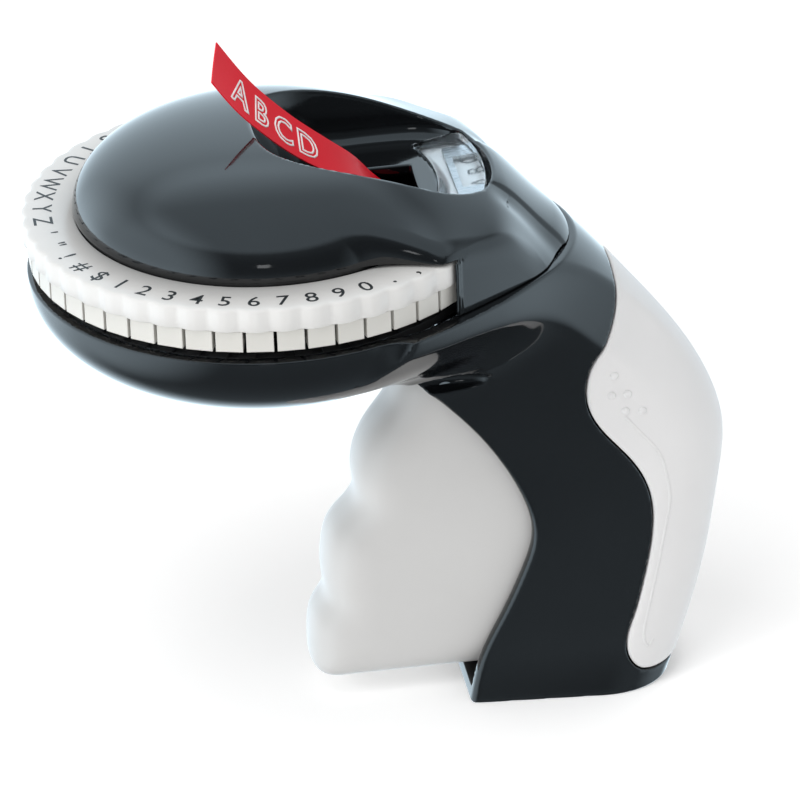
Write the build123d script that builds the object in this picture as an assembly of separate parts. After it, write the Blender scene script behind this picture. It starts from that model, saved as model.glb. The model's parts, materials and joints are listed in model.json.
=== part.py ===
from build123d import *
import math
import os

# Turn-and-click embossing label maker.
# All shapes are drawn in the head frame (origin on the dial's axis, level with the dial's top face,
# +X out of the front, +Y to the left, +Z up) and moved to the part's frame when they are written.

# ---- driving dimensions, mm ----
BASE_DROP = 115.5        # dial's top face above the flat of the base
HEAD_X = 22.5            # dial's axis ahead of the part's origin
TAPE_W = 9.0             # embossing tape, 3/8 inch
TAPE_T = 0.3
KEYS = 49                # characters on the dial
RING_R = 50.0            # dial ring, outside
RING_IN = 39.05          # dial ring, inside (runs on the cover's track)
RING_T = 5.2
TRACK_R = 39.0           # cover's round track
KEY_R = 48.9             # outer face of the die fingers
KEY_IN = 41.0
KEY_Z = -9.8             # underside of the die fingers
KEY_GAP = 0.7
PART_Z = -12.0           # joint between cover and housing
WALL = 2.2
TRIG_W = 22.0            # lever, across
TRIG_SWING = 12.0        # degrees
PIVOT = (-34.5, -40.5)   # lever pivot, x and z
PIN_R = 2.0
STATION_X = -44.0        # embossing station
FEED = (-54.0, -16.6)    # feed roller axis
FEED_R = 5.2
PINCH = (-54.0, -8.3)
PINCH_R = 2.6
ROLL = (-75.0, -56.0)    # tape roll axis
ROLL_R = 12.5
RUN = 0.05               # running clearance, radial
AXLE_R = 3.4             # dial axle
NECK_SCREWS = [(-53.0, 14.2), (-53.0, -14.2)]
SCREWS = NECK_SCREWS + [(0.0, 0.0)]
SCREW_R = 1.25
SCREW_CLEAR_R = 1.7
SCREW_HEAD_R = 2.8
BOSS_R = 3.4

# handle and neck, one row per level: z, front x, rear x, half width front, half width rear,
# front corner radius, rear corner radius
LEVELS = [
    (-12.0, -30.0, -64.6, 40.6, 22.5, 3.0, 13.0),
    (-20.0, -22.0, -71.6, 30.5, 19.5, 5.0, 12.0),
    (-30.0, -20.0, -79.6, 20.5, 17.2, 6.0, 11.5),
    (-40.0, -30.5, -87.0, 16.0, 16.8, 5.0, 11.5),
    (-50.0, -39.3, -92.3, 14.8, 16.6, 3.0, 11.5),
    (-60.0, -46.2, -95.0, 14.4, 16.6, 3.0, 11.5),
    (-70.0, -50.9, -94.2, 14.2, 16.7, 3.0, 11.5),
    (-78.0, -52.2, -92.8, 14.2, 16.9, 3.0, 11.5),
    (-86.0, -49.9, -91.3, 14.2, 17.2, 3.0, 11.5),
    (-96.0, -45.3, -88.8, 14.3, 17.7, 3.0, 11.5),
    (-106.0, -40.3, -85.6, 14.5, 18.3, 3.0, 11.5),
    (-115.5, -37.6, -82.0, 15.8, 20.0, 2.0, 12.0),
]

# front edge of the soft grip, seen from the side
GRIP_EDGE = [
    (-71.9, -17.5), (-71.9, -22.0), (-71.2, -27.0), (-68.6, -32.5), (-65.6, -37.0), (-64.2, -42.0),
    (-64.4, -47.5), (-66.8, -53.0), (-71.0, -58.4), (-75.2, -64.4), (-77.3, -70.5), (-77.6, -77.0),
    (-76.6, -84.0), (-75.0, -91.0), (-73.0, -98.0), (-71.3, -103.5), (-71.6, -107.6), (-74.0, -110.6),
    (-77.5, -111.4),
]

# lever, front outline from the pivot down to the toe
TRIG_FRONT = [
    (-31.0, -36.6), (-27.2, -41.0), (-24.6, -47.0), (-19.6, -54.0), (-16.6, -60.2), (-16.0, -65.4),
    (-16.2, -69.8), (-14.6, -72.4), (-10.8, -76.6), (-8.9, -83.4), (-8.9, -89.4), (-9.0, -92.4),
    (-6.9, -95.6), (-5.4, -101.0), (-5.3, -107.8),
]
TRIG_REAR = [
    (-43.0, -111.7), (-47.2, -103.0), (-51.0, -95.0), (-54.6, -86.0), (-56.0, -77.0), (-54.0, -68.0),
    (-48.0, -58.0), (-42.6, -49.0), (-39.9, -42.5),
]

# section of the dome: radius, height
DOME = [(39.4, 0.6), (39.2, 1.8), (38.2, 4.4), (36.3, 7.2), (33.2, 10.1), (28.8, 12.9), (22.8, 15.3),
        (15.0, 17.2), (7.0, 18.2), (0.0, 18.5)]
DOME_INSIDE = [(37.2, 0.0), (37.0, 1.4), (36.0, 3.8), (34.2, 6.3), (31.2, 8.9), (27.0, 11.4),
               (21.4, 13.6), (14.2, 15.3), (6.6, 16.2), (0.0, 16.5)]
# section of the bowl: radius, height
BOWL = [(49.4, -12.0), (49.2, -14.4), (48.2, -17.9), (46.0, -21.7), (42.0, -25.5), (36.0, -28.6),
        (28.0, -31.2), (18.0, -33.2), (8.0, -34.3), (0.0, -34.5)]
BOWL_INSIDE = [(47.2, -12.0), (47.0, -13.9), (46.0, -17.0), (43.8, -20.0), (39.8, -23.4),
               (34.0, -26.3), (26.4, -28.7), (17.0, -30.6), (7.6, -31.8), (0.0, -32.0)]


# ---- helpers ----
def outline(xf, xr, wf, wr, rf, rr):
    """Closed plan outline, narrower or wider at the front, with rounded corners."""
    face = make_face(Polyline((xf, -wf), (xf, wf), (xr, wr), (xr, -wr), close=True))
    front = face.vertices().filter_by(lambda v: v.X > (xf + xr) / 2)
    face = fillet(front, rf)
    rear = face.vertices().sort_by(Axis.X)[:2]
    return fillet(rear, rr)


def column(inset, front_add=0.0, bottom=None):
    """Neck and handle as one loft, drawn in by an inset; front_add pushes the front face out."""
    faces = []
    for z, xf, xr, wf, wr, rf, rr in LEVELS:
        front_r = max(rf - inset, 0.6)
        rear_r = max(rr - inset, 0.6)
        plan = outline(xf - inset + front_add, xr + inset, wf - inset, wr - inset, front_r, rear_r)
        faces.append(Pos(0, 0, z) * plan)
    solid = loft(faces)
    if bottom is not None:
        solid -= Pos(0, 0, bottom - 60) * Box(260, 260, 120)
    return solid


def side(points, width, y=0.0):
    """Extrude an outline drawn in the XZ plane, centred on y."""
    face = Plane.XZ * make_face(Polyline(*points, close=True))
    return Pos(0, y + width / 2, 0) * extrude(face, width, dir=(0, -1, 0))


def side_spline(points, closing, width):
    """Like side(), with a smooth first edge and straight closing edges."""
    wire = Spline(*points) + Polyline(points[-1], *closing, points[0])
    face = Plane.XZ * make_face(wire)
    return Pos(0, width / 2, 0) * extrude(face, width, dir=(0, -1, 0))


def revolved(profile):
    """Solid of revolution about Z from a smooth outline of radius and height, closed by a flat face
    at the height of its first point."""
    wire = Spline(*profile) + Polyline(profile[-1], (0, profile[0][1]), profile[0])
    return revolve(Plane.XZ * make_face(wire), Axis.Z)


def rod_y(x, z, r, length, y=0.0):
    return Pos(x, y, z) * Rot(90, 0, 0) * Cylinder(r, length)


def tube_y(x, z, r, bore, length, y=0.0):
    return rod_y(x, z, r, length, y) - rod_y(x, z, bore, length + 2, y)


def disc_z(r, z0, z1, x=0.0, y=0.0):
    return Pos(x, y, (z0 + z1) / 2) * Cylinder(r, z1 - z0)


def block(x0, x1, y0, y1, z0, z1):
    return Pos((x0 + x1) / 2, (y0 + y1) / 2, (z0 + z1) / 2) * Box(x1 - x0, y1 - y0, z1 - z0)


def coil(r, wire, turns, length):
    """Compression spring along +Z from the origin."""
    path = Helix(length / turns, length, r)
    start = path @ 0
    tangent = path % 0
    return sweep(Plane(origin=start, z_dir=tangent) * Circle(wire / 2), path)


def seat_z(x):
    """Height that a cover screw's head bears on; the middle screw sits lower."""
    return -24.5 if x else -28.0


PARTS = {}


def put(name, shape):
    PARTS[name] = shape


# ---- housing: bowl, neck and handle ----
handle_outer = column(0.0)
bowl_outer = revolved(BOWL)
bowl_inner = revolved(BOWL_INSIDE)
handle_inner = column(WALL, front_add=16.0, bottom=-113.0)
outer = handle_outer + bowl_outer

# ---- soft grip, let into the back of the handle ----
behind = side_spline(GRIP_EDGE, [(-110, -111.4), (-110, -17.5)], 60.0)
grip = (handle_outer & behind) - column(1.6)
put("grip", grip)

# the mouth under the bowl that the lever works in
mouth = side([(-22.0, -24.0), (-22.0, -60), (-58, -60), (-50, -47), (-39.5, -33.5), (-30, -27.0)],
             TRIG_W + 1.2)
cavity = bowl_inner + (handle_inner & block(-100, -20.0, -40, 40, -113.0, -12.0))
housing = outer - grip - cavity
housing -= mouth
# bosses: lever pin, roll pin, and cover screws
for s in (1, -1):
    housing += tube_y(*PIVOT, 4.6, PIN_R, 3.4, s * 13.6) & handle_outer
    housing += tube_y(*ROLL, 4.0, 1.6, 8.2, s * 11.4) & handle_outer
housing += disc_z(6.0, -33.5, -17.0)
for x, y in NECK_SCREWS:
    rib_end = math.copysign(30.0, y)
    housing += disc_z(BOSS_R, -25.5, -12.1, x, y) & outer
    housing += block(x - 1.2, x + 1.2, *sorted((y, rib_end)), -24.0, -12.1) & outer
for x, y in SCREWS:
    housing -= disc_z(SCREW_CLEAR_R, -34.0, -10.0, x, y)
    housing -= disc_z(SCREW_HEAD_R + 0.3, -36.0, seat_z(x), x, y)
housing -= rod_y(*PIVOT, PIN_R, 30.0)
housing -= rod_y(*ROLL, 1.6, 26.0)
housing -= grip
put("housing", housing)

# ---- top cover: dome, scoop and neck ----
dome_out = revolved(DOME)
dome_in = revolved(DOME_INSIDE)
neck_plan = make_face(Spline((-34.0, 38.8), (-41.5, 33.6), (-49.5, 28.8), (-55.8, 25.0), (-60.5, 18.6),
                             (-63.6, 9.6), (-64.6, 0), (-63.6, -9.6), (-60.5, -18.6), (-55.8, -25.0),
                             (-49.5, -28.8), (-41.5, -33.6), (-34.0, -38.8))
                      + Polyline((-34.0, -38.8), (-14.0, -30.0), (-14.0, 30.0), (-34.0, 38.8)))
neck_prof = [(-8.0, 9.0), (-22.0, 9.4), (-34.0, 7.8), (-44.0, 5.6), (-50.0, 2.4), (-56.0, -3.6),
             (-61.0, -8.8), (-64.6, -12.0)]
neck_body = side_spline(neck_prof, [(-8.0, -12.0)], 90.0)
neck_out = (Pos(0, 0, PART_Z) * extrude(neck_plan, 30, dir=(0, 0, 1))) & neck_body
neck_in = (Pos(1.8, 0, -2.0) * neck_out) & block(-70, 0, -26.0, 26.0, -20, 20)
SCOOP_PLAN = [(1.8, 0.0), (0.3, 7.0), (-6.0, 14.6), (-16.0, 18.2), (-28.0, 19.0), (-37.0, 18.0),
              (-43.6, 14.0), (-46.8, 7.5), (-47.6, 0.0)]
scoop_half = SCOOP_PLAN + [(x, -y) for x, y in SCOOP_PLAN[-2:0:-1]]


def scoop_tool(grow, drop):
    mid, sx, sy = -23.8, 1 + grow / 23.8, 1 + grow / 19.0
    plan = make_face(Spline(*[((x - mid) * sx + mid, y * sy) for x, y in scoop_half], periodic=True))
    floor = side([(6.0, 22.0 - drop), (1.0, 16.5 - drop), (-4.0, 9.6 - drop), (-9.0, 4.8 - drop),
                  (-14.0, 2.6 - drop), (-20.0, 2.2 - drop), (-60.0, 2.2 - drop), (-60.0, 40.0),
                  (6.0, 40.0)], 60.0)
    return extrude(plan, 40, dir=(0, 0, 1)) & floor


scoop = scoop_tool(0.0, 0.0)
scoop_skin = scoop_tool(1.8, 1.6)
cover = (dome_out + neck_out) - scoop
cover -= (dome_in + neck_in) - scoop_skin
# round channel the dial runs in, and the track that carries it
channel = disc_z(50.7, PART_Z - 1, 0.7) - disc_z(TRACK_R, PART_Z - 2, 1.0)
cover -= channel
cover -= disc_z(37.4, PART_Z - 1, -0.9)
cover += disc_z(TRACK_R, -6.2, 0.7) - disc_z(37.2, -7, 0.8)
cover -= block(-39.6, -30.0, -5.6, 5.6, -12.5, -2.0)
# lens window, and the slot that the tape comes out of
LENS_PLAN = [(-36.2, 0.0), (-35.6, 8.0), (-34.4, 15.4), (-39.4, 15.0), (-43.4, 11.4), (-45.6, 5.8),
             (-46.2, 0.0)]
lens_pts = LENS_PLAN + [(x, -y) for x, y in LENS_PLAN[-2:0:-1]]
lens_face = make_face(Polyline(*lens_pts, close=True))
cover -= extrude(lens_face, 12, dir=(0, 0, 1))
cover -= block(-32.0, -19.5, -5.6, 5.6, -3.0, 12.0)
cover -= block(-48.7, -39.5, -12.1, 12.1, 0.5, 1.4)
cover -= block(-56.9, -50.5, -10.6, 10.6, -12.5, -5.6)
# central boss on the axle, and the two neck bosses
cover += disc_z(4.2, -11.8, 17.0) & (dome_out + disc_z(5.0, -12.0, 1.0)) - scoop
for x, y in NECK_SCREWS:
    cover += disc_z(BOSS_R, -12.0, -1.0, x, y) & neck_out
    cover -= disc_z(SCREW_R, -17.0, -4.0, x, y)
cover -= disc_z(SCREW_R, -17.0, 2.0)
put("top_cover", cover)

lens = extrude(offset(lens_face, -0.15), 3.6, dir=(0, 0, 1))
lens = Pos(0, 0, 1.4) * lens
put("lens", lens)

# ---- dial: ring, die fingers, counter die ----
ring = disc_z(RING_R, -RING_T, 0.0) - disc_z(RING_IN, -RING_T - 1, 1)
pitch = 360.0 / KEYS
flutes = [Rot(0, 0, (i + 0.5) * pitch) * Pos(RING_R + 3.55, 0, -RING_T / 2) * Cylinder(4.2, RING_T + 2)
          for i in range(KEYS)]
ring -= flutes
put("dial_ring", ring)

half_angle = math.radians(pitch / 2) - KEY_GAP / 2 / KEY_R
outer_half = KEY_R * math.tan(half_angle)
inner_half = KEY_IN * math.tan(half_angle) * 0.92
finger_plan = make_face(Polyline((KEY_IN, -inner_half), (KEY_R, -outer_half), (KEY_R, outer_half),
                                 (KEY_IN, inner_half), close=True))
one = extrude(finger_plan, -KEY_Z - RING_T, dir=(0, 0, 1))
one = Pos(0, 0, KEY_Z) * one
one += Pos(44.6, 0, KEY_Z - 0.25) * Box(2.4, 1.8, 0.5)
put("die_fingers", Compound([Rot(0, 0, i * pitch) * one for i in range(KEYS)]))

counter = disc_z(46.2, -14.4, -12.6) - disc_z(40.6, -15, -12)
counter += disc_z(41.0, -14.4, -13.4) - disc_z(AXLE_R + RUN, -15, -12)
counter += disc_z(7.0, -16.4, -12.2) - disc_z(AXLE_R + RUN, -17, -12)
counter -= [Rot(0, 0, k * 60 + 30) * Pos(24, 0, -14) * Cylinder(8.0, 6) for k in range(6)]
counter -= [Rot(0, 0, i * pitch) * Pos(44.6, 0, -12.6) * Box(2.8, 2.2, 1.0) for i in range(KEYS)]
put("counter_die", counter)

axle = disc_z(AXLE_R, -17.0, -11.9) + disc_z(5.6, -17.0, -16.5)
axle -= disc_z(1.7, -18, -11)
put("axle", axle)

# sprung plunger that clicks into the gaps between the fingers
put("detent_spring", block(24.0, 39.0, -2.5, 2.5, -20.0, -19.5) + block(38.5, 39.0, -2.5, 2.5, -20.0, -15.4)
    + rod_y(38.8, -15.5, 1.0, 5.0))
put("spring_post", block(24.0, 28.0, -2.5, 2.5, -27.9, -20.0))

# ---- embossing station ----
frame_side = [(-31.6, -45.0), (-31.6, -35.0), (-37.0, -20.5), (-48.6, -20.5), (-48.6, -24.5),
              (-60.0, -24.5), (-60.0, -29.0), (-50.0, -36.0), (-43.0, -45.0)]
frame = side(frame_side, 1.2, 7.9) + side(frame_side, 1.2, -7.9)
frame += block(-48.6, -37.2, -8.0, 8.0, -21.7, -20.5)
frame += block(-48.0, -38.4, -8.0, 8.0, -29.6, -28.4)
frame -= rod_y(*PIVOT, PIN_R, 30)
frame -= block(-47.6, -39.7, -3.7, 3.7, -23, -19)
frame -= block(-46.2, -41.8, -2.2, 2.2, -30, -28)
put("mech_frame", frame)

hammer = block(-47.5, -40.5, -3.5, 3.5, -26.0, -19.0) + block(-46.2, -41.8, -2.4, 2.4, -19.0, -16.6)
hammer += disc_z(2.0, -35.0, -26.0, STATION_X) + disc_z(3.2, -35.0, -33.6, STATION_X)
put("hammer", hammer)
put("cutter_blade", block(-40.5, -39.9, -3.2, 3.2, -19.6, -16.8)
    + block(-40.5, -39.9, -2.0, 2.0, -16.9, -16.4))
put("hammer_spring", Pos(STATION_X, 0, -33.3) * coil(2.9, 0.5, 3.0, 3.4))
anvil = block(-48.6, -39.6, -12.0, 12.0, 0.75, 1.35) - block(-46.6, -41.0, -7.4, 7.4, 0, 3)
put("anvil_plate", anvil)

# ---- lever ----
toe = [(-5.3, -107.8), (-6.6, -110.6), (-9.6, -111.7)]
wire = (Spline(*TRIG_FRONT) + Polyline(toe[0], toe[1], toe[2], TRIG_REAR[0])
        + Spline(*TRIG_REAR) + Polyline(TRIG_REAR[-1], (-38.9, -38.0), (-36.6, -36.0), (-33.4, -35.4),
                                        TRIG_FRONT[0]))
trig_face = Plane.XZ * make_face(wire)
trigger = Pos(0, TRIG_W / 2, 0) * extrude(trig_face, TRIG_W, dir=(0, -1, 0))
TRIG_HOLLOW = [(-32.5, -33.0), (-29.4, -42.5), (-26.6, -48.6), (-22.2, -56.4), (-19.6, -62.0),
               (-19.0, -70.0), (-15.0, -76.4), (-12.0, -84.0), (-11.8, -92.6), (-8.8, -99.0),
               (-8.2, -109.0), (-62.0, -109.0), (-62.0, -33.0)]
trigger -= side(TRIG_HOLLOW, TRIG_W - 4.4)
trigger -= rod_y(*PIVOT, PIN_R + RUN, 40)
trigger += side([(-44.2, -94.0), (-46.2, -94.0), (-46.2, -82.0), (-44.2, -82.0)], TRIG_W - 3.0)
crank = side([(-31.0, -50.0), (-24.9, -50.0), (-28.6, -42.0), (-31.6, -37.4), (-36.0, -36.2),
              (-43.0, -36.0), (-45.6, -38.2), (-44.2, -40.6), (-38.0, -44.6)], 5.0)
trigger -= crank
put("trigger", trigger)
crank -= rod_y(-44.0, -38.2, 3.6, 3.4)
crank -= rod_y(-44.0, -38.2, 1.02, 8.0)
crank -= rod_y(*PIVOT, PIN_R + RUN, 20)
put("trigger_crank", crank)
put("crank_roller", rod_y(-44.0, -38.2, 3.1, 3.0) + rod_y(-44.0, -38.2, 1.0, 5.0))
put("trigger_pin", rod_y(*PIVOT, PIN_R, 30.0))
put("trigger_spring", Pos(-46.8, 0, -88.0) * Rot(0, -90, 0) * coil(4.0, 0.9, 8.0, 39.6))

# ---- tape drive ----
feed = tube_y(*FEED, FEED_R, 1.5, 12.0)
feed -= [Pos(FEED[0], 0, FEED[1]) * Rot(0, k * 15.0, 0) * Pos(FEED_R + 0.25, 0, 0) * Box(0.8, 14, 0.5)
         for k in range(24)]
put("feed_roller", feed)
teeth = []
for k in range(12):
    t0 = math.radians(30 * k)
    t1 = math.radians(30 * k + 24)
    teeth += [(FEED[0] + 6.6 * math.cos(t0), FEED[1] + 6.6 * math.sin(t0)),
              (FEED[0] + 5.2 * math.cos(t1), FEED[1] + 5.2 * math.sin(t1))]
put("ratchet_wheel", side(teeth, 1.4, 7.6) - rod_y(*FEED, 1.5, 30))
put("feed_shaft", rod_y(*FEED, 1.5, 17.6))
put("pinch_roller", tube_y(*PINCH, PINCH_R, 1.0 + RUN, 10.0))
put("pinch_shaft", rod_y(*PINCH, 1.0, 17.0))
bracket = [(-51.3, -24.4), (-51.3, -6.4), (-56.4, -6.4), (-59.0, -24.4)]
rails = side(bracket, 1.2, 9.4) + side(bracket, 1.2, -9.4)
rails += block(-58.0, -52.0, -10.0, 10.0, -24.4, -23.4)
rails -= rod_y(*FEED, 1.5 + RUN, 40)
rails -= rod_y(*PINCH, 1.0, 40)
put("feed_bracket", rails)
guide = block(-48.6, -47.6, -6.2, 6.2, -20.5, -11.5) - block(-51, -46, -4.9, 4.9, -19.4, -13.0)
for y in (5.5, -5.5):
    guide += block(-48.6, -47.6, y - 0.7, y + 0.7, -11.6, -9.8)
put("tape_guide", guide)
roll = tube_y(*ROLL, ROLL_R, 5.0, TAPE_W)
put("tape_roll", roll)
spool = tube_y(*ROLL, 5.0, 1.6 + RUN, 10.2)
spool += tube_y(*ROLL, 7.0, 1.6 + RUN, 0.6, 4.9) + tube_y(*ROLL, 7.0, 1.6 + RUN, 0.6, -4.9)
put("spool", spool)
put("roll_pin", rod_y(*ROLL, 1.6, 26.0))

# tape: up from the roll, over the feed roller, through the station and out of the scoop
WRAP_R = FEED_R + 0.25          # middle of the tape as it goes over the feed roller
wrap_start = (FEED[0] - WRAP_R, FEED[1])
wrap_mid = (FEED[0] - WRAP_R * math.sqrt(0.5), FEED[1] + WRAP_R * math.sqrt(0.5))
wrap_end = (FEED[0], FEED[1] + WRAP_R)
station_end = (-41.0, FEED[1] + WRAP_R)
path = Polyline((-62.5, -54.0), wrap_start)
path += ThreePointArc(wrap_start, wrap_mid, wrap_end)
path += Line(wrap_end, station_end)
path += Spline(station_end, (-33.5, -8.0), (-22.7, 2.12), tangents=((1, 0), (0.79, 0.61)))
strip = Plane.XZ * trace(path, TAPE_T)
inner_tape = Pos(0, TAPE_W / 2, 0) * extrude(strip, TAPE_W, dir=(0, -1, 0))
TWIST = [(-22.6, 2.2, 38, -4), (-19.4, 4.9, 38, -14), (-15.0, 8.0, 37, -22), (-10.8, 11.0, 38, -27),
         (-6.3, 14.6, 41, -30), (-1.9, 18.8, 46, -31), (2.7, 23.8, 52, -32), (6.2, 28.6, 56, -32),
         (8.8, 32.6, 58, -32)]
faces = []
for k, (x, z, slope, tw) in enumerate(TWIST):
    run = Vector(math.cos(math.radians(slope)), 0, math.sin(math.radians(slope)))
    across = Vector(0, 1, 0).rotate(Axis((0, 0, 0), run), tw)
    cut = 0.36 * max(0, k - 5) / 3      # the free end is cut a little askew
    wide = (across - run * cut).normalized()
    face = Plane(origin=(x, 0, z), x_dir=wide, z_dir=(run + across * cut).normalized())
    faces.append(face * Rectangle(TAPE_W * math.hypot(1, cut), TAPE_T))
put("tape", Compound([inner_tape, loft(faces)]))

# ---- screws ----
def screw(x, y, z, length):
    """Pan-head screw with a cross recess, pointing up from the face its head bears on."""
    shape = disc_z(SCREW_R, z, z + length, x, y) + disc_z(SCREW_HEAD_R, z - 1.8, z, x, y)
    shape -= Pos(x, y, z - 1.6) * Box(3.6, 0.8, 1.2)
    shape -= Pos(x, y, z - 1.6) * Box(0.8, 3.6, 1.2)
    return shape


put("cover_screws", Compound([screw(x, y, seat_z(x), 18.0 if x else 28.0) for x, y in SCREWS]))

# ---- write the parts ----
os.makedirs("parts", exist_ok=True)
for name, shape in PARTS.items():
    if isinstance(shape, (list, ShapeList)):
        shape = Compound(list(shape))
    export_step(Pos(HEAD_X, 0, BASE_DROP) * shape, f"parts/{name}.step")
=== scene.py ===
import json
import math

import bpy
import numpy as np
from mathutils import Matrix, Vector

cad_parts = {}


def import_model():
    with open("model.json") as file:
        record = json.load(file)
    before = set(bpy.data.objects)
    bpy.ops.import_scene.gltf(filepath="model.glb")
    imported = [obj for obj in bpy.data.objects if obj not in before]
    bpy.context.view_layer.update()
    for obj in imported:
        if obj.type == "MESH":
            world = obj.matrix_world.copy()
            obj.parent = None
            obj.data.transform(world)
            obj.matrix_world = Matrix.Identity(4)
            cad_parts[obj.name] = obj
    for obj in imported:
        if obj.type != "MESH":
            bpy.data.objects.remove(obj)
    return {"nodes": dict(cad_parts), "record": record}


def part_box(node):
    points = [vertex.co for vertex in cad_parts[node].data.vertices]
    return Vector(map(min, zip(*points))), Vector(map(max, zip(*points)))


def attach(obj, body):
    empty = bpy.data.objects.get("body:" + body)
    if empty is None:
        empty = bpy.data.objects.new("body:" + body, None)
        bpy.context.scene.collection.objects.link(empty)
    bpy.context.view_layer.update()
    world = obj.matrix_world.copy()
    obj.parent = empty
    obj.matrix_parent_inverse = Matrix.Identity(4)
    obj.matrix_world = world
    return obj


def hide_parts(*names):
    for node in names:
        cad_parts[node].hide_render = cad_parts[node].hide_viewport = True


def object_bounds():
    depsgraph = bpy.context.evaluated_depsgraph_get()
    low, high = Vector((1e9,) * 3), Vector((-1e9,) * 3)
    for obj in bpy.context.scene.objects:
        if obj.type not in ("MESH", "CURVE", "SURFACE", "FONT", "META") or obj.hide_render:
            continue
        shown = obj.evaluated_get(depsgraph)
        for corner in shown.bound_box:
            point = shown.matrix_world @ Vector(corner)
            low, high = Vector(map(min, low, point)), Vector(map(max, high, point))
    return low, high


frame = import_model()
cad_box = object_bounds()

# Shapes are worked out in millimetres in the head frame: the origin is on the dial's axis, level
# with the dial's top face, +X out of the front, +Y to the left, +Z up.
DIAL_LOW, DIAL_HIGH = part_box("dial_ring")
HEAD = np.array([(DIAL_LOW.x + DIAL_HIGH.x) / 2, (DIAL_LOW.y + DIAL_HIGH.y) / 2, DIAL_HIGH.z])
MM = 0.001


# ---------------------------------------------------------------- fields and contouring
# A field is a function of x, y, z that is negative inside a shape and about the distance outside.
def smin(a, b, k):
    """Union of two fields, blended over a width k."""
    h = np.clip(0.5 + 0.5 * (b - a) / k, 0, 1)
    return b * (1 - h) + a * h - k * h * (1 - h)


def smax(a, b, k):
    """Intersection of two fields, blended over a width k."""
    return -smin(-a, -b, k)


def smooth(a, b, x):
    """0 below a, 1 above b, with an even slope between."""
    t = np.clip((x - a) / (b - a), 0, 1)
    return t * t * (3 - 2 * t)


def cubic(xs, ys):
    """Natural cubic through the points, as a function of one value."""
    xs, ys = np.array(xs, float), np.array(ys, float)
    n = len(xs)
    h = np.diff(xs)
    a, r = np.eye(n), np.zeros(n)
    for i in range(1, n - 1):
        a[i, i - 1:i + 2] = h[i - 1], 2 * (h[i - 1] + h[i]), h[i]
        r[i] = 6 * ((ys[i + 1] - ys[i]) / h[i] - (ys[i] - ys[i - 1]) / h[i - 1])
    m = np.linalg.solve(a, r)

    def value(x):
        i = np.clip(np.searchsorted(xs, x) - 1, 0, n - 2)
        x = np.clip(x, xs[0] - 5, xs[-1] + 5)
        u = (xs[i + 1] - x) / h[i]
        v = 1 - u
        bend = ((u**3 - u) * m[i] + (v**3 - v) * m[i + 1]) * h[i]**2 / 6
        return u * ys[i] + v * ys[i + 1] + bend
    return value


def curve_points(points, step=0.6):
    """Points along a smooth curve through the given 2-D points."""
    p = np.array(points, float)
    t = np.concatenate([[0], np.cumsum(np.linalg.norm(np.diff(p, axis=0), axis=1))])
    s = np.linspace(0, t[-1], int(t[-1] / step) + 2)
    return np.stack([cubic(t, p[:, 0])(s), cubic(t, p[:, 1])(s)], 1)


BLUR = (0.0625, 0.25, 0.375, 0.25, 0.0625)     # one pass of softening, along each axis


def field_2d(points, cell=0.25, margin=14.0, soften=0):
    """Signed distance to a closed outline, as a function of two coordinates; soften rounds it off."""
    p = np.array(points, float)
    lo, hi = p.min(0) - margin, p.max(0) + margin
    nx, ny = (np.ceil((hi - lo) / cell).astype(int) + 1)
    gx, gy = np.meshgrid(lo[0] + cell * np.arange(nx), lo[1] + cell * np.arange(ny), indexing="ij")
    dist = np.full(gx.shape, 1e9)
    inside = np.zeros(gx.shape, bool)
    for a, b in zip(p, np.roll(p, -1, 0)):
        e = b - a
        if e @ e < 1e-12:
            continue
        t = np.clip(((gx - a[0]) * e[0] + (gy - a[1]) * e[1]) / (e @ e), 0, 1)
        dist = np.minimum(dist, (gx - a[0] - t * e[0])**2 + (gy - a[1] - t * e[1])**2)
        crosses = (a[1] > gy) != (b[1] > gy)
        if crosses.any() and abs(e[1]) > 1e-12:
            inside ^= crosses & (gx < a[0] + e[0] * (gy - a[1]) / e[1])
    grid = np.where(inside, -1, 1) * np.sqrt(dist)
    for _ in range(soften):
        for axis in (0, 1):
            wide = np.pad(grid, [(2, 2) if a == axis else (0, 0) for a in (0, 1)], "reflect",
                          reflect_type="odd")
            n = grid.shape[axis]
            grid = sum(np.take(wide, range(k, k + n), axis) * w
                       for k, w in enumerate(BLUR))

    def value(x, y):
        u = np.clip((x - lo[0]) / cell, 0, nx - 1.001)
        v = np.clip((y - lo[1]) / cell, 0, ny - 1.001)
        i, j = u.astype(int), v.astype(int)
        u, v = u - i, v - j
        low = grid[i, j] * (1 - u) + grid[i + 1, j] * u
        high = grid[i, j + 1] * (1 - u) + grid[i + 1, j + 1] * u
        return low * (1 - v) + high * v
    return value


CORNERS = np.array([(i, j, k) for i in (0, 1) for j in (0, 1) for k in (0, 1)])
EDGES = [(a, b) for a in range(8) for b in range(a + 1, 8)
         if abs(CORNERS[a] - CORNERS[b]).sum() == 1]


def gradient(f, p, e=0.14):
    """Unit normals of the field at the points, from differences over a distance e."""
    g = np.empty_like(p)
    for axis in range(3):
        d = np.zeros(3)
        d[axis] = e
        g[:, axis] = f(*(p + d).T) - f(*(p - d).T)
    return g / np.maximum(np.linalg.norm(g, axis=1, keepdims=True), 1e-9)


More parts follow.
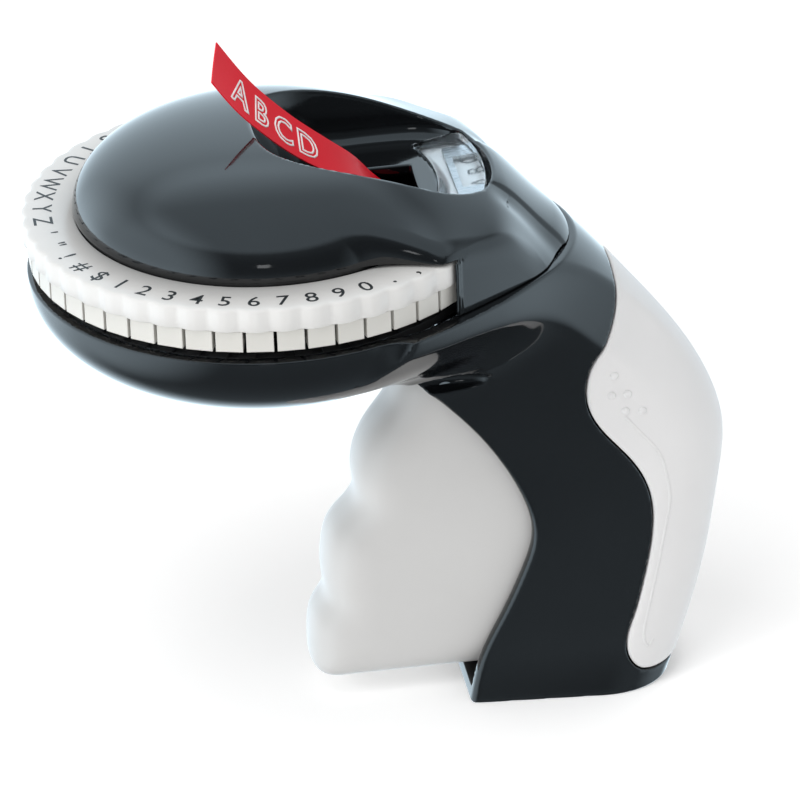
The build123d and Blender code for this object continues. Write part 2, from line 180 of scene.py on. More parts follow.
def mixed_cells(f, lo, hi, step, block=8, slack=1.6):
    """Grid cells that the surface passes through, with the field at their corners."""
    size = step * block
    n = np.ceil((hi - lo) / size).astype(int)
    idx = np.stack(np.meshgrid(*[np.arange(v) for v in n], indexing="ij"), -1).reshape(-1, 3)
    near = np.abs(f(*(lo + (idx + 0.5) * size).T)) < size * 0.87 * slack
    idx = idx[near]
    ax = np.arange(block + 1)
    local = np.stack(np.meshgrid(ax, ax, ax, indexing="ij"), -1).reshape(-1, 3)
    cells, values = [], []
    for chunk in np.array_split(idx, max(1, len(idx) // 400)):
        at = (chunk[:, None, :] * block + local[None]).reshape(-1, 3)
        v = f(*(lo + at * step).T).reshape(len(chunk), *[block + 1] * 3)
        c = np.stack([v[:, i:i + block, j:j + block, k:k + block] for i, j, k in CORNERS], -1)
        inside = c < 0
        b, i, j, k = np.nonzero(inside.any(-1) & ~inside.all(-1))
        cells.append(chunk[b] * block + np.stack([i, j, k], 1))
        values.append(c[b, i, j, k])
    return np.concatenate(cells), np.concatenate(values), n * block + 2


def contour(f, lo, hi, step):
    """Dual contouring: vertices and quads of the surface f = 0, with its creases kept crisp."""
    lo, hi = np.array(lo, float), np.array(hi, float)
    cells, values, dims = mixed_cells(f, lo, hi, step)

    def key(c):
        return (c[:, 0] * dims[1] + c[:, 1]) * dims[2] + c[:, 2]

    order = np.argsort(key(cells))
    cells, values = cells[order], values[order]
    keys = key(cells)
    sel, hit = [], []
    for a, b in EDGES:
        s = np.nonzero((values[:, a] < 0) != (values[:, b] < 0))[0]
        pa, pb = lo + (cells[s] + CORNERS[a]) * step, lo + (cells[s] + CORNERS[b]) * step
        fa, fb = values[s, a], values[s, b]
        for _ in range(4):
            pm = pa + (pb - pa) * np.clip(fa / (fa - fb), 0.02, 0.98)[:, None]
            fm = f(*pm.T)
            same = (fm < 0) == (fa < 0)
            pa, fa = np.where(same[:, None], pm, pa), np.where(same, fm, fa)
            pb, fb = np.where(same[:, None], pb, pm), np.where(same, fb, fm)
        sel.append(s)
        hit.append(pa + (pb - pa) * (fa / (fa - fb))[:, None])
    sel, p = np.concatenate(sel), np.concatenate(hit)
    nrm = gradient(f, p)
    count, mass = np.zeros(len(cells)), np.zeros((len(cells), 3))
    np.add.at(count, sel, 1)
    np.add.at(mass, sel, p)
    mass /= count[:, None]
    ata, atb = np.zeros((len(cells), 3, 3)), np.zeros((len(cells), 3))
    np.add.at(ata, sel, nrm[:, :, None] * nrm[:, None, :])
    np.add.at(atb, sel, nrm * (nrm * (p - mass[sel])).sum(1)[:, None])
    ata += 0.04 * count[:, None, None] * np.eye(3)
    v = mass + np.linalg.solve(ata, atb[:, :, None])[:, :, 0]
    low = lo + cells * step
    v = np.clip(v, low - 0.25 * step, low + 1.25 * step)
    faces = []
    for axis in range(3):
        o1, o2, end = np.zeros(3, int), np.zeros(3, int), np.zeros(3, int)
        o1[(axis + 1) % 3] = 1
        o2[(axis + 2) % 3] = 1
        end[axis] = 1
        s0, s1 = values[:, 0] < 0, values[:, int(end @ (4, 2, 1))] < 0
        own = np.nonzero(s0 != s1)[0]
        ok = np.ones(len(own), bool)
        quad = []
        for off in (0 * o1, o1, o1 + o2, o2):
            k = key(cells[own] - off)
            at = np.minimum(np.searchsorted(keys, k), len(keys) - 1)
            ok &= keys[at] == k
            quad.append(at)
        quad = np.stack(quad, 1)
        quad[s1[own]] = quad[s1[own]][:, ::-1]
        faces.append(quad[ok])
    return v, np.concatenate(faces)


# ---------------------------------------------------------------- meshes
def to_world(p):
    """Head frame in millimetres to the shared frame in metres."""
    return np.asarray(p) * MM + HEAD


def mesh_object(name, verts, faces, body, material, normals=None):
    """A piece from head-frame vertices; normals, one per face corner, are kept if given."""
    mesh = bpy.data.meshes.new(name)
    verts = to_world(verts)
    faces = [tuple(int(i) for i in f) for f in faces]
    mesh.from_pydata([tuple(v) for v in verts], [], faces)
    mesh.polygons.foreach_set("use_smooth", [True] * len(mesh.polygons))
    if normals is not None:
        mesh.normals_split_custom_set([tuple(n) for n in normals])
    mesh.materials.append(material)
    obj = bpy.data.objects.new(name, mesh)
    bpy.context.scene.collection.objects.link(obj)
    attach(obj, body)
    return obj


def field_object(name, f, lo, hi, step, body, material):
    """A piece contoured from its field, with the field's own normals so that it shades smoothly."""
    v, q = contour(f, lo, hi, step * (1.0))
    centre = v[q].mean(1)
    corner = (v[q] * 0.85 + centre[:, None] * 0.15).reshape(-1, 3)
    n = gradient(f, corner, 0.18)
    flat = np.cross(v[q[:, 2]] - v[q[:, 0]], v[q[:, 3]] - v[q[:, 1]])
    flat /= np.maximum(np.linalg.norm(flat, axis=1, keepdims=True), 1e-12)
    flat = np.repeat(flat, 4, axis=0)
    odd = (n * flat).sum(1) < 0.2
    n[odd] = flat[odd]
    return mesh_object(name, v, q, body, material, n)


# ---------------------------------------------------------------- the shapes, head frame, mm
PART_Z = -12.0       # where the cover meets the housing
SEAM = 0.12          # half the gap between them
BASE_Z = -115.5      # underside of the handle
WALL = 2.2
LEVEL_ROWS = [  # z, front x, rear x, half width front, half width rear
    (-115.5, -37.6, -82.0, 15.9, 20.2), (-106.0, -40.3, -85.6, 14.5, 18.3),
    (-96.0, -45.3, -88.8, 14.2, 17.6), (-86.0, -49.9, -91.3, 14.2, 17.2),
    (-78.0, -52.2, -92.8, 14.2, 16.9), (-70.0, -50.9, -94.2, 14.2, 16.7),
    (-60.0, -46.2, -95.0, 14.4, 16.6), (-50.0, -39.3, -92.3, 14.8, 16.6),
    (-40.0, -31.0, -87.0, 16.4, 16.8), (-30.0, -26.0, -79.6, 21.5, 17.2),
    (-20.0, -26.0, -71.6, 33.0, 18.4), (-12.0, -30.0, -64.6, 41.4, 19.3),
    (-4.0, -30.0, -56.4, 41.4, 20.5)]
LEVEL_Z, *LEVEL_COLUMNS = zip(*LEVEL_ROWS)
FRONT_X, REAR_X, FRONT_W, REAR_W = [cubic(LEVEL_Z, c) for c in LEVEL_COLUMNS]
FACET = cubic([-40.0, -33.0, -26.0, -20.0, -12.0], [6.6, 6.4, 6.0, 5.2, 3.0])
ROUNDING = cubic([-115.5, -90.0, -60.0, -40.0], [12.5, 13.0, 15.5, 18.0])
DROP = cubic([-64.0, -55.0, -48.0, -42.0, -35.0, -25.0],
             [0.021, 0.0168, 0.0070, 0.0050, 0.0037, 0.0032])
RIDGE = cubic([-64.6, -61.0, -56.0, -50.0, -44.0, -34.0, -22.0, -8.0],
              [-12.0, -8.8, -3.6, 2.4, 5.6, 7.8, 9.4, 9.0])


def column(x, y, z, inset=0.0, front=0.0):
    """Neck and handle: straight sides, a bowed back, rounded rear corners, a facet by the neck."""
    xf, xr = FRONT_X(z) - inset + front, REAR_X(z) + inset
    wf, wr = FRONT_W(z) - inset, REAR_W(z) - inset
    u = np.clip((x - xr) / np.maximum(xf - front - xr, 1.0), -0.2, 1.2)
    side = np.abs(y) - (wr + (wf - wr) * u)
    t = smooth(-48.0, -30.0, z)
    rear = xr + y * y * (0.0125 + 0.0065 * t) - x
    plain = smax(side, rear, ROUNDING(np.clip(z, -115.5, -40)))
    faceted = smax(smax(side, rear, 1.0), (side + rear) * 0.707 + FACET(np.clip(z, -40, -12)), 1.2)
    f = plain * (1 - t) + faceted * t
    return smax(f, x - xf, 1.6) * 0.9


BOWL_R, BOWL_H, BOWL_POWER = 49.4, 23.2, 2.3


def bowl(x, y, z, inset=0.0):
    """Round tray under the dial, a superellipse in section."""
    r = np.hypot(x, y)
    a, b, n = BOWL_R - inset, BOWL_H - inset, BOWL_POWER
    d = np.maximum(PART_Z - z, 0.0)
    return (((r / a)**n + (d / b)**n)**(1 / n) - 1) * b * 0.9


def lower_body(x, y, z, inset=0.0, front=0.0):
    """Bowl and column in one skin, with a wider blend under the head than at the back of the neck."""
    return smin(bowl(x, y, z, inset), column(x, y, z, inset, front), 8.0 + 4.0 * smooth(-62.0, -44.0, x))


GRIP_EDGE = [(-71.9, -17.5), (-71.9, -22.0), (-71.2, -27.0), (-68.6, -32.5), (-65.6, -37.0),
             (-64.2, -42.0), (-64.4, -47.5), (-66.8, -53.0), (-71.0, -58.4), (-75.2, -64.4),
             (-77.3, -70.5), (-77.6, -77.0), (-76.6, -84.0), (-75.0, -91.0), (-73.0, -98.0),
             (-71.3, -103.5), (-71.6, -107.6), (-74.0, -110.6), (-77.5, -111.4)]
behind = field_2d(np.concatenate([curve_points(GRIP_EDGE), [(-104.0, -111.4), (-104.0, -17.5)]]))
MOUTH = field_2d([(-22.0, -22.0), (-22.0, -60.0), (-58.0, -60.0), (-50.0, -47.0), (-39.5, -33.5),
                  (-30.0, -27.0)])
SCREWS = [(-53.0, 14.2), (-53.0, -14.2), (0.0, 0.0)]
SCREW_HOLE_R, BOSS_R = 3.1, 3.4
LEVER_W = 22.0
LEVER_WALL = 2.3
LEVER_GAP = 0.6      # to each side of the lever
DENT = (-33.0, 18.8, -37.8)     # recess beside the lever's pivot: middle and half sizes
DENT_SIZE = (11.4, 4.2, 2.8)
DENT_DEPTH = 2.4
GRIP_T, GRIP_BED = 1.9, 2.05    # thickness of the grip, depth of the bed that it lies in


def housing(x, y, z):
    """Bowl, neck and handle as one open shell, with the mouth for the lever and the grip's bed."""
    f = smax(lower_body(x, y, z), z - (PART_Z - SEAM), 0.5)
    offsets = [(v - c) / h for v, c, h in zip((x, np.abs(y), z), DENT, DENT_SIZE)]
    dent = np.sqrt(offsets[0]**2 + offsets[1]**2 + offsets[2]**2) - 1
    f = smax(f, -dent * DENT_DEPTH, 0.5)
    f = smax(f, BASE_Z - z, 0.6)
    thick = WALL + 2.0 * (1 - smooth(0.5, 5.0, behind(x, z)))
    inner = smax(column(x, y, z, thick, 16.0), z - PART_Z - 3, 0.5)
    inner = np.maximum(smax(inner, BASE_Z + 2.5 - z, 1.0), x - 20.0)
    inner = np.minimum(inner, bowl(x, y, z, WALL))
    inner = np.maximum(inner, 1.5 - dent * DENT_DEPTH)
    mouth = smax(MOUTH(x, z), np.abs(y) - (LEVER_W / 2 + LEVER_GAP), 1.5)
    boss = 1e3
    for sx, sy in SCREWS:
        r = np.hypot(x - sx, y - sy)
        top, low = (-12.4, -25.5) if sx else (-17.2, -31.0)
        boss = np.minimum(boss, np.maximum(np.maximum(r - BOSS_R, z - top), low - z))
    inner = np.maximum(inner, -boss)
    f = np.maximum(f, -inner)
    f = smax(f, -mouth, 0.8)
    for sx, sy in SCREWS:
        r = np.hypot(x - sx, y - sy)
        low = -24.5 if sx else -28.0
        f = smax(f, -np.maximum(np.maximum(r - SCREW_HOLE_R, z - low), low - 5.0 - z), 0.3)
    pocket = np.maximum(behind(x, z) - 0.22, -column(x, y, z, GRIP_BED))
    return smax(f, -pocket, 0.25)


def grip_skin(x, y, z):
    return column(x, y, z, -0.25)


def grip(x, y, z):
    f = smax(grip_skin(x, y, z), behind(x, z) + 0.05, 1.1)
    return smax(f, -column(x, y, z, GRIP_T), 0.3)


LEVER_FRONT = [(-31.0, -36.6), (-27.2, -41.0), (-24.6, -47.0), (-19.6, -54.0), (-16.6, -60.2),
               (-16.0, -65.4), (-16.2, -69.8), (-14.6, -72.4), (-10.8, -76.6), (-8.9, -83.4),
               (-8.9, -89.4), (-9.0, -92.4), (-6.9, -95.6), (-5.4, -101.0), (-5.3, -107.8),
               (-6.6, -110.6), (-9.6, -111.7)]
LEVER_REAR = [(-43.0, -111.7), (-47.2, -103.0), (-51.0, -95.0), (-54.6, -86.0), (-56.0, -77.0),
              (-54.0, -68.0), (-48.0, -58.0), (-42.6, -49.0), (-39.9, -42.5)]
front_curve = curve_points(LEVER_FRONT[:-2])
rear_curve = curve_points(LEVER_REAR)
lever_front = field_2d(np.concatenate([front_curve, LEVER_FRONT[-2:],
                                       [(-80.0, -111.7), (-80.0, -30.0), (-36.0, -30.0)]]), soften=16)
lever_rear = field_2d(np.concatenate([rear_curve, [(-38.9, -38.0), (-36.6, -36.0), (-33.4, -35.4),
                                                   (0.0, -30.0), (20.0, -30.0), (20.0, -140.0),
                                                   (-43.0, -140.0)]]))


def lever(x, y, z):
    """Squeeze lever: a hollow white shell with four finger bumps down its front."""
    skin = smax(lever_front(x, z), np.abs(y) - LEVER_W / 2, 10.5)
    f = smax(skin, lever_rear(x, z), 1.2)
    hollow = np.maximum(skin + LEVER_WALL, z + 38.0)
    return smax(f, -hollow, 0.5)


DOME_R, DOME_H = 39.4, 17.5
SCOOP_PLAN = [(1.8, 0.0), (0.3, 7.0), (-6.0, 14.6), (-16.0, 18.2), (-28.0, 19.0), (-37.0, 18.0),
              (-43.6, 14.0), (-46.8, 7.5), (-47.6, 0.0)]
scoop_half = curve_points([(x, -y) for x, y in SCOOP_PLAN[1:3][::-1]] + SCOOP_PLAN
                          + [(x, -y) for x, y in SCOOP_PLAN[-3:-1][::-1]])
scoop_half = scoop_half[scoop_half[:, 1] >= 0]
SCOOP = field_2d(np.concatenate([scoop_half, scoop_half[::-1] * (1, -1)]))
SCOOP_FLOOR = field_2d([(7.0, 24.0), (1.0, 16.5), (-4.0, 9.6), (-9.0, 4.8), (-14.0, 2.8), (-20.0, 2.2),
                        (-60.0, 2.2), (-60.0, 60.0), (7.0, 60.0)])
LENS_R, LENS_OUT, LENS_HALF_W = 36.2, 46.3, 15.2     # inner and outer radius, half width
CHANNEL_IN, CHANNEL_OUT, CHANNEL_TOP = 38.95, 50.7, 0.75     # the room that the dial turns in
SLOT_X, SLOT_HALF_L, SLOT_HALF_W, SLOT_TOP = -25.75, 6.0, 5.6, 6.0     # the tape comes up through it


def dome(x, y, z):
    r = np.hypot(x, y)
    d = np.maximum(z - 0.4, 0.0)
    return (((r / DOME_R)**2.15 + (d / DOME_H)**2.15)**(1 / 2.15) - 1) * DOME_H * 0.95


def neck_cap(x, y, z):
    """The cover's rear: a ridge with a flat strip, sloping to two cheeks that end the open dial."""
    ay = np.abs(y)
    side = ay - (38.8 + 0.64 * (x + 34.0)) + 0.5 * np.maximum(z - 1.0, 0.0)
    rear = -64.6 + y * y * 0.019 - x
    cheek = 0.40 * (x + 32.5) + 0.915 * (ay - 39.8)
    corner = np.maximum(smax(side, rear, 3.0), (side + rear) * 0.707 + 3.0)
    plan = smax(smax(corner, cheek, 3.0), x + 12.0, 6.0)
    strip = 0.7 * (1 - smooth(9.6, 10.6, ay))
    hollow = 0.9 * np.exp(-((ay - 13.5) / 3.6)**2)
    height = RIDGE(x) - DROP(np.clip(x, -65, -25)) * y * y + (strip - hollow) * smooth(-44.0, -50.0, x)
    return smax(plan, (z - height) * 0.8, 4.0)


def cover_outer(x, y, z):
    return smin(dome(x, y, z), neck_cap(x, y, z), 4.5)


def scoop_cut(x, y, z, grow=0.0):
    """The scoop that the tape leaves by, grown for the shell that lines it."""
    wall = SCOOP(x, y) - grow - 0.16 * (z - 4.0)
    return smax(wall, SCOOP_FLOOR(x, z) - grow, 3.0 if grow == 0 else 4.0)


def lens_window(x, y):
    r = np.hypot(x, y)
    window = smax(smax(LENS_R - r, r - LENS_OUT, 1.0), np.abs(y) - LENS_HALF_W, 2.0)
    return np.maximum(window, x)


def cover(x, y, z):
    outer = cover_outer(x, y, z)
    r = np.hypot(x, y)
    f = smax(outer, -scoop_cut(x, y, z), 0.7)
    room = np.minimum(r - 36.9, np.maximum(x + 51.5, np.abs(y) - 21.0))
    inner = np.maximum(np.maximum(outer + WALL, -scoop_cut(x, y, z, 1.9)), room)
    f = np.maximum(f, -inner)
    channel = np.maximum(np.maximum(r - CHANNEL_OUT, CHANNEL_IN - r), z - CHANNEL_TOP)
    f = smax(f, -channel, 0.25)
    f = np.maximum(f, (PART_Z + SEAM) - z)
    slot = np.maximum(np.abs(x - SLOT_X) - SLOT_HALF_L, np.abs(y) - SLOT_HALF_W)
    slot = np.maximum(slot, z - SLOT_TOP)
    f = smax(f, -slot, 0.3)
    return smax(f, -np.maximum(lens_window(x, y), -z - 1.5), 0.3)


def lens(x, y, z):
    top = 2.35 + 0.2 * (np.hypot(x, y) - LENS_R)
    f = smax(lens_window(x, y) + 0.12, z - top, 0.5)
    return smax(f, 1.4 - z, 0.2)


# ---------------------------------------------------------------- materials
def new_material(name):
    m = bpy.data.materials.new(name)
    m.use_nodes = True
    tree = m.node_tree
    return m, tree, tree.nodes["Principled BSDF"]


def link(tree, a, b):
    tree.links.new(a, b)


def noise(tree, scale, detail=4.0, rough=0.55):
    """Noise in the object's own coordinates, which all noises of one material share."""
    coords = tree.nodes.get("Coords") or tree.nodes.new("ShaderNodeTexCoord")
    coords.name = "Coords"
    n = tree.nodes.new("ShaderNodeTexNoise")
    n.inputs["Scale"].default_value = scale
    n.inputs["Detail"].default_value = detail
    n.inputs["Roughness"].default_value = rough
    link(tree, coords.outputs["Object"], n.inputs["Vector"])
    return n.outputs["Fac"]


def span(tree, value, low, high, start=0.3, end=0.7):
    """Map a noise value to the range low to high."""
    n = tree.nodes.new("ShaderNodeMapRange")
    n.inputs["From Min"].default_value = start
    n.inputs["From Max"].default_value = end
    n.inputs["To Min"].default_value = low
    n.inputs["To Max"].default_value = high
    link(tree, value, n.inputs["Value"])
    return n.outputs["Result"]


def two_tone(tree, value, dark, light, start=0.3, end=0.7):
    n = tree.nodes.new("ShaderNodeValToRGB")
    n.color_ramp.elements[0].position = start
    n.color_ramp.elements[0].color = (*dark, 1)
    n.color_ramp.elements[1].position = end
    n.color_ramp.elements[1].color = (*light, 1)
    link(tree, value, n.inputs["Fac"])
    return n.outputs["Color"]


def bump(tree, bsdf, value, distance, strength=1.0, normal=None):
    n = tree.nodes.new("ShaderNodeBump")
    n.inputs["Strength"].default_value = strength
    n.inputs["Distance"].default_value = distance
    link(tree, value, n.inputs["Height"])
    if normal is not None:
        link(tree, normal, n.inputs["Normal"])
    link(tree, n.outputs["Normal"], bsdf.inputs["Normal"])
    return n.outputs["Normal"]


def rounded(tree, radius):
    """Normals of edges worn round, so that they catch the light."""
    n = tree.nodes.new("ShaderNodeBevel")
    n.samples = 4
    n.inputs["Radius"].default_value = radius
    return n.outputs["Normal"]


def plastic(name, dark, light, rough, grain, depth, blotch=25.0, spec=0.5, edge=0.0, glow=0.0):
    """Moulded plastic: faint colour drift, uneven gloss and a fine grain in the surface.

    grain and blotch are noise scales, depth is the height of the grain and edge the radius of worn
    edges, both in metres, and glow is the share of light that passes under the surface.
    """
    m, tree, bsdf = new_material(name)
    drift = noise(tree, blotch, 3.0)
    link(tree, two_tone(tree, drift, dark, light), bsdf.inputs["Base Color"])
    fine = noise(tree, grain, 5.0, 0.6)
    link(tree, span(tree, fine, rough[0], rough[1]), bsdf.inputs["Roughness"])
    bump(tree, bsdf, fine, depth, 1.0, rounded(tree, edge) if edge else None)
    bsdf.inputs["Specular IOR Level"].default_value = spec
    if glow:
        bsdf.inputs["Subsurface Weight"].default_value = glow
        bsdf.inputs["Subsurface Radius"].default_value = (0.004, 0.004, 0.004)
        bsdf.inputs["Subsurface Scale"].default_value = 0.6
    return m


BLACK = plastic("black_gloss_plastic", (0.0035, 0.004, 0.0048), (0.0055, 0.0062, 0.0072), (0.045, 0.09),
                900.0, 0.000002, spec=0.6)
GRIP = plastic("soft_white_rubber", (0.79, 0.785, 0.785), (0.83, 0.825, 0.825), (0.42, 0.52), 1500.0,
               0.000006, spec=0.35, glow=0.12)
LEVER = plastic("white_lever_plastic", (0.66, 0.655, 0.645), (0.69, 0.685, 0.675), (0.30, 0.38), 900.0,
                0.0000015, spec=0.45)
DIAL = plastic("white_dial_plastic", (0.73, 0.725, 0.71), (0.77, 0.765, 0.75), (0.28, 0.36), 900.0,
               0.000003, spec=0.45, edge=0.0002)
FINGER = plastic("white_finger_plastic", (0.66, 0.65, 0.61), (0.72, 0.71, 0.67), (0.35, 0.45), 900.0,
                 0.000004, edge=0.0003)
INNER = plastic("dark_inner_plastic", (0.03, 0.031, 0.033), (0.05, 0.051, 0.054), (0.35, 0.5), 600.0,
                0.000012, edge=0.0002)
RUBBER = plastic("feed_rubber", (0.028, 0.027, 0.026), (0.05, 0.048, 0.046), (0.6, 0.8), 1400.0,
                 0.00003)
INK = plastic("black_print", (0.006, 0.006, 0.006), (0.012, 0.012, 0.012), (0.4, 0.5), 2500.0,
              0.000003)
LETTER = plastic("stretched_white_tape", (0.86, 0.80, 0.80), (0.95, 0.92, 0.92), (0.35, 0.5), 3000.0,
                 0.00001)
TAPE = plastic("red_vinyl_tape", (0.70, 0.004, 0.016), (0.78, 0.006, 0.022), (0.30, 0.42), 1200.0,
               0.000003, blotch=60.0, spec=0.25)


def steel_material():
    m, tree, bsdf = new_material("brushed_steel")
    coords = tree.nodes.new("ShaderNodeTexCoord")
    stretch = tree.nodes.new("ShaderNodeMapping")
    stretch.inputs["Scale"].default_value = (1.0, 18.0, 1.0)
    link(tree, coords.outputs["Object"], stretch.inputs["Vector"])
    n = tree.nodes.new("ShaderNodeTexNoise")
    n.inputs["Scale"].default_value = 300.0
    n.inputs["Detail"].default_value = 6.0
    link(tree, stretch.outputs["Vector"], n.inputs["Vector"])
    link(tree, two_tone(tree, n.outputs["Fac"], (0.45, 0.46, 0.47), (0.62, 0.63, 0.64)),
         bsdf.inputs["Base Color"])
    link(tree, span(tree, n.outputs["Fac"], 0.2, 0.4), bsdf.inputs["Roughness"])
    bump(tree, bsdf, n.outputs["Fac"], 0.00001)
    bsdf.inputs["Metallic"].default_value = 1.0
    return m


def lens_material():
    m, tree, bsdf = new_material("clear_lens")
    wave = noise(tree, 140.0, 4.0, 0.6)
    link(tree, span(tree, wave, 0.10, 0.24), bsdf.inputs["Roughness"])
    bump(tree, bsdf, wave, 0.00012, 0.6)
    bsdf.inputs["Base Color"].default_value = (0.93, 0.95, 0.97, 1)
    bsdf.inputs["Transmission Weight"].default_value = 1.0
    bsdf.inputs["IOR"].default_value = 1.2
    return m


STEEL = steel_material()
LENS = lens_material()
SLOT_MATERIALS = {"black_gloss": BLACK, "soft_grip": GRIP, "clear_lens": LENS, "steel": STEEL,
                  "inner_plastic": INNER, "red_tape": TAPE, "white_lever": LEVER, "white_dial": DIAL,
                  "feed_rubber": RUBBER}
for row in frame["record"]["subparts"]:
    materials = frame["nodes"][row["node"]].data.materials
    materials.clear()
    materials.append(FINGER if row["node"] == "die_fingers" else SLOT_MATERIALS[row["material_slot"]])


# ---------------------------------------------------------------- pieces
def stand_in(name, f, lo, hi, step, body, material, node):
    piece = field_object(name, f, lo, hi, step, body, material)
    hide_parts(node)


stand_in("housing_shell", housing, (-99, -54, -119), (54, 54, -8), 0.75, "housing", BLACK, "housing")
stand_in("cover_shell", cover, (-68, -44, -14), (44, 44, 24), 0.55, "housing", BLACK, "top_cover")
stand_in("soft_grip", grip, (-99, -22, -115), (-58, 22, -12), 0.7, "housing", GRIP, "grip")
stand_in("squeeze_lever", lever, (-60, -14, -114), (0, 14, -32), 0.7, "trigger", LEVER, "trigger")
stand_in("dial_lens", lens, (-49, -18, 0), (-30, 18, 8), 0.45, "housing", LENS, "lens")


# dial ring: fluted rim with rounded edges
KEYS = 49
PITCH = 2 * math.pi / KEYS
RING_R, RING_IN, RING_T = 50.0, 39.05, 5.2
SIX_AT = math.radians(79.6)


def ring_piece():
    per_flute = 14
    n = KEYS * per_flute
    profile = [(0.0, -RING_T), (0.9, -RING_T), (0.97, -RING_T + 0.12), (1.0, -RING_T + 0.45),
               (1.0, -2.6), (1.0, -0.75), (0.985, -0.32), (0.95, -0.06), (0.9, 0.0), (0.02, 0.0),
               (0.0, -0.25)]
    verts, faces = [], []
    for i in range(n):
        a = 2 * math.pi * i / n
        wave = abs(math.sin((a - SIX_AT) / PITCH * math.pi + math.pi / 2))
        flute = 0.62 * max(0.0, 1 - wave * 1.08)**0.8
        for u, z in profile:
            r = RING_IN + (RING_R - RING_IN) * u - flute * smooth(0.75, 0.95, np.float64(u))
            verts.append((r * math.cos(a), r * math.sin(a), z))
    m = len(profile)
    for i in range(n):
        for j in range(m):
            a, b = i * m + j, i * m + (j + 1) % m
            c, d = ((i + 1) % n) * m + (j + 1) % m, ((i + 1) % n) * m + j
            faces.append((a, d, c, b))
    return mesh_object("fluted_dial", verts, faces, "dial", DIAL)


ring = ring_piece()
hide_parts("dial_ring")


# ---------------------------------------------------------------- print on the dial
def glyph_mesh(text, outline=0.0, depth=0.0, bold=0.0):
    """Flat outline of a generic character as points and faces, centred, one unit cap height."""
    data = bpy.data.curves.new("glyph", "FONT")
    data.body = text
    data.align_x = "CENTER"
    data.resolution_u = 3
    data.offset = bold
    if outline:
        data.fill_mode = "NONE"
        data.bevel_depth = outline
        data.bevel_resolution = 1
    data.extrude = depth
    obj = bpy.data.objects.new("glyph", data)
    bpy.context.scene.collection.objects.link(obj)
    mesh = bpy.data.meshes.new_from_object(obj.evaluated_get(bpy.context.evaluated_depsgraph_get()))
    pts = np.array([v.co for v in mesh.vertices], float).reshape(-1, 3)
    faces = [list(p.vertices) for p in mesh.polygons]
    bpy.data.objects.remove(obj)
    bpy.data.curves.remove(data)
    bpy.data.meshes.remove(mesh)
    return pts, faces


CAP = 0.729          # height of a capital in the default font, for a size of 1
PRINT_LIFT = 0.03    # print above the dial's face


def dial_print():
    order = "67890.,-/&+=@ABCDEFGHIJKLMNOPQRSTUVWXYZ'\"!#$12345"
    verts, faces = [], []
    size, radius = 4.2, 45.5
    for k, char in enumerate(order):
        pts, polys = glyph_mesh(char, bold=0.006)
        scale = size / CAP
        x, y = pts[:, 0] * scale, (pts[:, 1] - CAP / 2) * scale
        a = SIX_AT + k * PITCH
        # the foot of each character points outward
        out, along = (math.cos(a), math.sin(a)), (-math.sin(a), math.cos(a))
        base = len(verts)
        for u, v in zip(x, y):
            verts.append((out[0] * (radius - v) + along[0] * u, out[1] * (radius - v) + along[1] * u,
                          PRINT_LIFT))
        faces += [[base + i for i in p] for p in polys]
    piece = mesh_object("dial_print", verts, faces, "dial", INK)


dial_print()


# ---------------------------------------------------------------- tape
TAPE_W, TAPE_T = 9.0, 0.3
TAPE_SAG = 0.10      # how far the tape's edges stand above its middle
TAPE_CUT = 0.36      # slant of the cut end
TWIST = [  # x and z of the tape's middle, turn about its run in degrees
    (-30.0, -4.6, 0), (-26.4, -1.2, 0), (-22.6, 2.2, -4), (-19.4, 4.9, -14), (-15.0, 8.0, -22),
    (-10.8, 11.0, -27), (-6.3, 14.6, -30), (-1.9, 18.8, -31), (2.7, 23.8, -32), (6.2, 28.6, -32),
    (8.8, 32.6, -32)]
twist = np.array(TWIST, float)
reach = np.concatenate([[0], np.cumsum(np.hypot(*np.diff(twist[:, :2], axis=0).T))])
tape_x, tape_z, tape_turn = [cubic(reach, twist[:, c]) for c in range(3)]
TAPE_END = reach[-1]


def tape_point(s, v, w):
    """A point s along the tape, v across it, w above its face."""
    s = np.asarray(s, float)
    e = 0.05
    dx, dz = tape_x(s + e) - tape_x(s - e), tape_z(s + e) - tape_z(s - e)
    length = np.hypot(dx, dz)
    run = np.stack([dx / length, 0 * dx, dz / length], -1)
    t = np.radians(tape_turn(s))
    up = np.stack([-run[..., 2], 0 * dx, run[..., 0]], -1)
    across = np.stack([0 * dx, np.cos(t), 0 * dx], -1) + up * np.sin(t)[..., None]
    face = np.cross(run, across)
    centre = np.stack([tape_x(s), 0 * dx, tape_z(s)], -1)
    return centre + across * np.asarray(v)[..., None] + face * np.asarray(w)[..., None]


def tape_piece():
    ns, nv = 90, 18
    s = np.linspace(0, TAPE_END, ns)
    v = np.linspace(-TAPE_W / 2, TAPE_W / 2, nv)
    ss, vv = np.meshgrid(s, v, indexing="ij")
    ss = ss - TAPE_CUT * vv * smooth(TAPE_END - 16, TAPE_END, ss)
    sag = TAPE_SAG * (vv / (TAPE_W / 2))**2
    top = tape_point(ss, vv, TAPE_T / 2 + sag).reshape(-1, 3)
    low = tape_point(ss, vv, -TAPE_T / 2 + sag).reshape(-1, 3)
    faces, m = [], ns * nv
    for i in range(ns - 1):
        for j in range(nv - 1):
            a, b, c, d = i * nv + j, (i + 1) * nv + j, (i + 1) * nv + j + 1, i * nv + j + 1
            faces += [(a, b, c, d), (m + d, m + c, m + b, m + a)]
    rim = [i * nv for i in range(ns)] + [(ns - 1) * nv + j for j in range(1, nv)]
    rim += [i * nv + nv - 1 for i in range(ns - 2, -1, -1)] + list(range(nv - 2, 0, -1))
    for a, b in zip(rim, rim[1:] + rim[:1]):
        faces.append((a, m + a, m + b, b))
    piece = mesh_object("red_tape", np.concatenate([top, low]), faces, "housing", TAPE)
    piece.data.set_sharp_from_angle(angle=math.radians(50))
    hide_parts("tape")


tape_piece()


